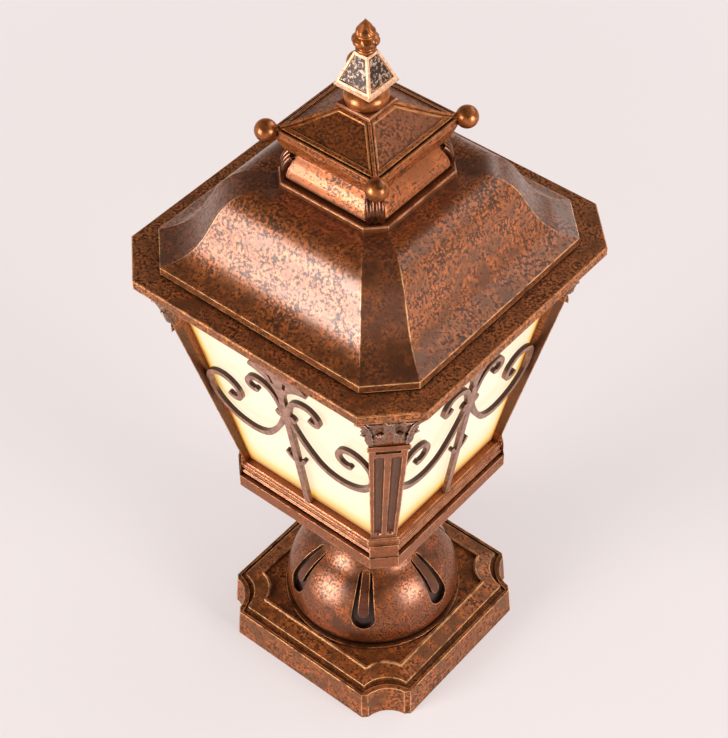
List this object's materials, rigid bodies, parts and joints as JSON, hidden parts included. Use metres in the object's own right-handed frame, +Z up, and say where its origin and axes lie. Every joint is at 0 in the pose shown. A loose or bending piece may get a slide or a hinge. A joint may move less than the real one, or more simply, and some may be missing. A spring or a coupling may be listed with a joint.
{
  "type": "pillar light",
  "caption": "Square pillar lantern on a fluted bun foot and scooped plinth, with scroll grilles over opal panes, a bell roof that lifts on a tie rod, and a ball finial.",
  "frame": {"origin": "middle of the plinth's underside, where the light stands on its pillar", "axes": "+Z up through the finial; -Y and +X square to the two sides that face the viewer"},
  "size_m": [0.3, 0.3, 0.6838],
  "materials": {
    "patina_copper": "antique copper finish on cast metal, mottled with dark patina, satin",
    "plain_copper": "even satin copper finish on cast metal",
    "grille_copper": "pinkish brown copper finish on flat cast scrolls, darker on their edges",
    "opal_glass": "smooth warm opal glass",
    "zinc_steel": "zinc plated steel",
    "brass": "plain brass",
    "nickel_cap": "bright thin shell of a lamp cap",
    "lamp_glass": "frosted lamp glass",
    "white_holder": "glazed white lampholder",
    "black_nylon": "black nylon terminal block",
    "bush_rubber": "black rubber bush",
    "gasket_rubber": "black foam rubber strip"
  },
  "bodies": {
    "root": {"plinth": "patina_copper", "fluted_skirt": "patina_copper", "neck_ring": "patina_copper", "neck_foot": "patina_copper", "neck_vase": "patina_copper", "tray": "patina_copper", "top_ring": "patina_copper", "roof_gasket": "gasket_rubber", "yoke_bar": "zinc_steel", "tie_rod": "zinc_steel", "rod_thread": "zinc_steel", "rod_nuts": "zinc_steel", "post_screws_lower": "zinc_steel", "post_screws_upper": "zinc_steel", "yoke_screws": "zinc_steel", "threaded_tube": "zinc_steel", "tube_washer": "zinc_steel", "tube_nut_lower": "zinc_steel", "tube_nut_upper": "zinc_steel", "cable_bush": "bush_rubber", "holder_bracket": "zinc_steel", "bracket_screws": "zinc_steel", "lampholder": "white_holder", "terminal_block": "black_nylon", "earth_screw": "brass", "post_front_right": "patina_copper", "post_back_right": "patina_copper", "post_back_left": "patina_copper", "post_front_left": "patina_copper", "glass_front": "opal_glass", "glass_right": "opal_glass", "glass_back": "opal_glass", "glass_left": "opal_glass", "grille_front": "grille_copper", "grille_right": "grille_copper", "grille_back": "grille_copper", "grille_left": "grille_copper"},
    "roof": {"eave_plate": "patina_copper", "bell_roof": "patina_copper", "eave_screws": "zinc_steel", "collar_plate": "patina_copper", "crown_neck": "patina_copper", "cap_roof": "patina_copper", "finial_plate": "patina_copper", "finial_ball": "plain_copper", "finial_pyramid": "patina_copper", "claw_front_right": "patina_copper", "claw_back_right": "patina_copper", "claw_back_left": "patina_copper", "claw_front_left": "patina_copper", "corner_ball_front_right": "plain_copper", "corner_ball_back_right": "plain_copper", "corner_ball_back_left": "plain_copper", "corner_ball_front_left": "plain_copper"},
    "bud": {"finial_bud": "plain_copper"},
    "lamp": {"lamp_cap": "nickel_cap", "lamp_bulb": "lamp_glass"}
  },
  "joints": [
    {"name": "roof_lift", "type": "slide", "parent": "root", "child": "roof", "axis": [0, 0, 1], "range_m": [0, 0.125]},
    {"name": "bud_turn", "type": "hinge", "parent": "roof", "child": "bud", "pos_m": [0, 0, 0.66], "axis": [0, 0, 1], "continuous": true},
    {"name": "lamp_turn", "type": "hinge", "parent": "root", "child": "lamp", "pos_m": [0, 0, 0.25], "axis": [0, 0, 1], "continuous": true}
  ]
}
